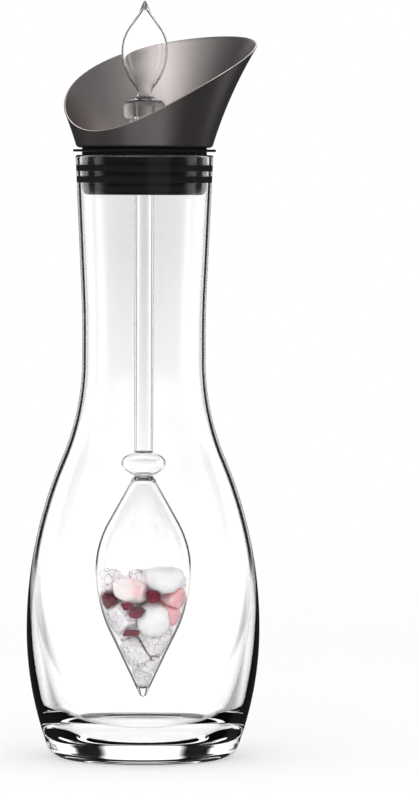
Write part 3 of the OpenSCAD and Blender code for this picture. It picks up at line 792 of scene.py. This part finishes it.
# A white room, with upright black flags to either side of each view, which draw dark edges on the glass
studio = {
    "ambient": 1.1, "behind": 1.3, "dark": 0.01, "flags": (17.4, 67.4, -25.5, 115.5, 199.5, 250.5),
    "flagHalf": 8.5, "flagSoft": 2.5, "skyFrom": 24, "skyTo": 40, "dimFrom": 0.0, "dimTo": 0.3,
    "greySpread": 9, "greyLevel": 0.67, "greyFrom": -0.075, "greyTo": 0.02,
    "greyStops": ((0.0, 0), (0.62, 1), (0.83, 1), (0.9, 0)),
}


def aside(azimuth):
    turn = math.radians(azimuth)
    return Vector((math.sin(turn), -math.cos(turn), 0)), Vector((math.cos(turn), math.sin(turn), 0))


def makeCamera(s):
    back, right = aside(s["azimuth"])
    data = bpy.data.cameras.new("camera")
    data.lens = data.sensor_width * s["distance"] / s["frameTall"]
    camera = bpy.data.objects.new("camera", data)
    bpy.context.scene.collection.objects.link(camera)
    camera.location = back * s["distance"] + Vector((0, 0, s["height"]))
    aim = right * s["aimRight"] + Vector((0, 0, s["aimHeight"]))
    turn = (aim - camera.location).to_track_quat("-Z", "Y") @ Quaternion((0, 0, 1), math.radians(s["roll"]))
    camera.rotation_euler = turn.to_euler()
    bpy.context.scene.camera = camera


def makeFloor(f):
    clearSelection()
    bpy.ops.mesh.primitive_circle_add(vertices=f["segments"], radius=f["radius"], fill_type="NGON")
    floor = bpy.context.object
    floor.name = "studioFloor"
    material = bpy.data.materials.new("paleFloor")
    material.cycles.emission_sampling = "NONE"
    material.use_nodes = True
    tree = material.node_tree
    tree.nodes.clear()
    where = tree.nodes.new("ShaderNodeTexCoord").outputs["Object"]
    path = tree.nodes.new("ShaderNodeLightPath").outputs
    length = addNode(tree, "ShaderNodeVectorMath", operation="LENGTH")
    link = tree.links.new
    link(where, length.inputs[0])
    away = length.outputs["Value"]
    far = addRange(tree, away, f["aisleEnd"], f["aisleFade"] * f["aisleEnd"])
    aisle = addMath(tree, "MULTIPLY", far, f["beyond"])
    for azimuth, half in f["aisles"]:
        ahead, across = (addMath(tree, "ABSOLUTE", addDot(tree, where, way)) for way in aside(azimuth))
        outside = addMath(tree, "MULTIPLY_ADD", ahead, -f["aisleSpread"], across)
        within = addRange(tree, outside, half, half + f["aisleSoft"], 1.0, 0.0)
        aisle = addMath(tree, "MAXIMUM", aisle, within)
    nearPaintedShade = addRange(tree, away, f["cardReach"], f["cardReach"] + f["cardSoft"], 1.0, 0.0)
    # painted shade: near the object the floor's paint is darker for light that was mirrored off the vial,
    # standing in for a black card, or it would veil the stones
    seen = path["Is Transmission Ray"]
    bounced = addMath(tree, "MULTIPLY", seen, addMath(tree, "MINIMUM", path["Glossy Depth"], 1.0))
    inner = addMath(tree, "GREATER_THAN", path["Transmission Depth"], f["cardDepth"])
    paintedShade = addMath(tree, "MULTIPLY", addMath(tree, "MULTIPLY", bounced, inner), nearPaintedShade)
    shade = addRange(tree, paintedShade, 0.0, 1.0, f["paint"], f["paint"] * f["cardShade"])
    glassed = addMath(tree, "MULTIPLY", addMath(tree, "SUBTRACT", seen, paintedShade), aisle)
    lifted = addMath(tree, "MULTIPLY", path["Is Diffuse Ray"], f["under"])
    lifted = addMath(tree, "MULTIPLY_ADD", path["Is Camera Ray"], f["lift"], lifted)
    paint = tree.nodes.new("ShaderNodeBsdfDiffuse")
    glow = tree.nodes.new("ShaderNodeEmission")
    both = tree.nodes.new("ShaderNodeAddShader")
    clear = tree.nodes.new("ShaderNodeBsdfTransparent")
    edge = tree.nodes.new("ShaderNodeMixShader")
    output = tree.nodes.new("ShaderNodeOutputMaterial")
    link(shade, paint.inputs["Color"])
    link(addMath(tree, "MULTIPLY_ADD", glassed, f["glassLift"], lifted), glow.inputs["Strength"])
    link(paint.outputs[0], both.inputs[0])
    link(glow.outputs[0], both.inputs[1])
    link(addRange(tree, away, f["fadeFrom"], f["fadeTo"]), edge.inputs["Fac"])
    link(both.outputs[0], edge.inputs[1])
    link(clear.outputs[0], edge.inputs[2])
    link(edge.outputs[0], output.inputs["Surface"])
    floor.data.materials.append(material)
    floor.visible_glossy = False


# What metal and gloss mirror: brightness round the object, in degrees from the camera, in three belts
mirrored = {
    "below": [
        (-180, 0.10), (-120, 0.10), (-77, 0.06), (-45, 0.09), (-25, 0.19), (30, 0.23), (48, 0.10),
        (70, 0.03), (112, 0.03), (126, 0.16), (138, 0.18), (150, 0.06), (180, 0.10),
    ],
    "level": [(-180, 0.03), (2, 0.03), (10, 0.20), (40, 0.20), (48, 0.03), (180, 0.03)],
    "above": [
        (-180, 3.2), (-165, 1.5), (-152, 0.2), (-135, 0.06), (-112, 0.15), (-80, 0.5), (-50, 1.2),
        (-35, 1.65), (-15, 1.65), (0, 0.9), (12, 0.5), (48, 0.34), (70, 0.24), (110, 0.2), (150, 0.3),
        (165, 1.5), (180, 3.2),
    ],
    "levelTo": 0.2, "beltFrom": 0.45,
}


# A ring of walls round the object, each as bright as the list says
def addWalls(tree, turn, walls):
    stops = [(0.5 + degrees / 360, (level,) * 3) for degrees, level in walls]
    return addRamp(tree, turn, *stops, ease="EASE")


def makeWorld(s, m):
    world = bpy.data.worlds.new("studio")
    bpy.context.scene.world = world
    world.use_nodes = True
    tree = world.node_tree
    tree.nodes.clear()
    link = tree.links.new
    direction = tree.nodes.new("ShaderNodeTexCoord").outputs["Generated"]
    path = tree.nodes.new("ShaderNodeLightPath").outputs
    level = addNode(tree, "ShaderNodeVectorMath", {1: (1, 1, 0)}, operation="MULTIPLY")
    heading = addNode(tree, "ShaderNodeVectorMath", operation="NORMALIZE")
    link(direction, level.inputs[0])
    link(level.outputs[0], heading.inputs[0])
    back, right = aside(shot["azimuth"])
    ahead, across, up = (addDot(tree, direction, way) for way in (back, right, (0, 0, 1)))

    flags = 0.0
    inner, outer = (math.cos(math.radians(s["flagHalf"] + side * s["flagSoft"])) for side in (-1, 1))
    for azimuth in s["flags"]:
        flag = addRange(tree, addDot(tree, heading.outputs[0], -aside(azimuth)[0]), outer, inner)
        flags = addMath(tree, "MAXIMUM", flag, flags)
    room = addRange(tree, flags, 0.0, 1.0, s["behind"], s["dark"], "LINEAR")
    greySide = math.sin(math.radians(s["greySpread"]))
    middle = addRange(tree, addMath(tree, "ABSOLUTE", across), 0.0, greySide, 1.0, 0.0)
    belt = addRamp(
        tree, addRange(tree, up, s["greyFrom"], s["greyTo"], ease="LINEAR"),
        *((height, (level,) * 3) for height, level in s["greyStops"]),
    )
    grey = addMath(tree, "MULTIPLY", middle, belt)
    grey = addRange(tree, grey, 0.0, 1.0, 1.0, s["greyLevel"], "LINEAR")
    skyFrom, skyTo = (math.sin(math.radians(s[side])) for side in ("skyFrom", "skyTo"))
    sky = addRange(tree, up, skyFrom, skyTo, 1.0, 0.0)
    dim = addRange(tree, ahead, s["dimFrom"], s["dimTo"], 1.0, 0.0)

    # the way round from behind the object, through the camera's side, as a share of a turn
    around = addMath(tree, "MULTIPLY_ADD", addMath(tree, "ARCTAN2", across, ahead), 0.5 / math.pi, 0.5)
    mirror = addWalls(tree, around, m["level"])
    for name, side in (("above", 1), ("below", -1)):
        share = addRange(tree, up, side * m["levelTo"], side * m["beltFrom"])
        mirror = addMix(tree, share, mirror, addWalls(tree, around, m[name]), data_type="RGBA")

    # light that was mirrored inside the glass sees the room's near side dark
    lit = addMix(tree, path["Glossy Depth"], 1.0, dim)
    behind = room
    for part in (grey, sky, lit):
        behind = addMath(tree, "MULTIPLY", behind, part)
    strength = addMix(tree, path["Is Glossy Ray"], s["ambient"], mirror)
    strength = addMix(tree, path["Is Transmission Ray"], strength, behind)
    strength = addMix(tree, path["Is Camera Ray"], strength, 1.0)
    background = addNode(tree, "ShaderNodeBackground", {"Color": (1, 1, 1, 1)})
    output = tree.nodes.new("ShaderNodeOutputWorld")
    link(strength, background.inputs["Strength"])
    link(background.outputs[0], output.inputs["Surface"])


lampAim = Vector((0, 0, 0.15))
lamps = {
    "overhead": {"at": (0.2, -0.3, 1.5), "size": 1.2, "watts": 2},
    "fill": {"at": (0.85, -1.25, 0.75), "size": 1.0, "watts": 6},
}


def makeLamp(name, lamp):
    data = bpy.data.lights.new(name, "AREA")
    data.size = lamp["size"]
    data.energy = lamp["watts"]
    light = bpy.data.objects.new(name, data)
    bpy.context.scene.collection.objects.link(light)
    light.location = lamp["at"]
    light.rotation_euler = (lampAim - light.location).to_track_quat("-Z", "Y").to_euler()
    light.visible_glossy = light.visible_transmission = False


makeCamera(shot)
makeFloor(floorLook)
makeWorld(studio, mirrored)
for name, lamp in lamps.items():
    makeLamp(name, lamp)
bpy.context.scene.view_settings.view_transform = "Standard"
print("studio set")
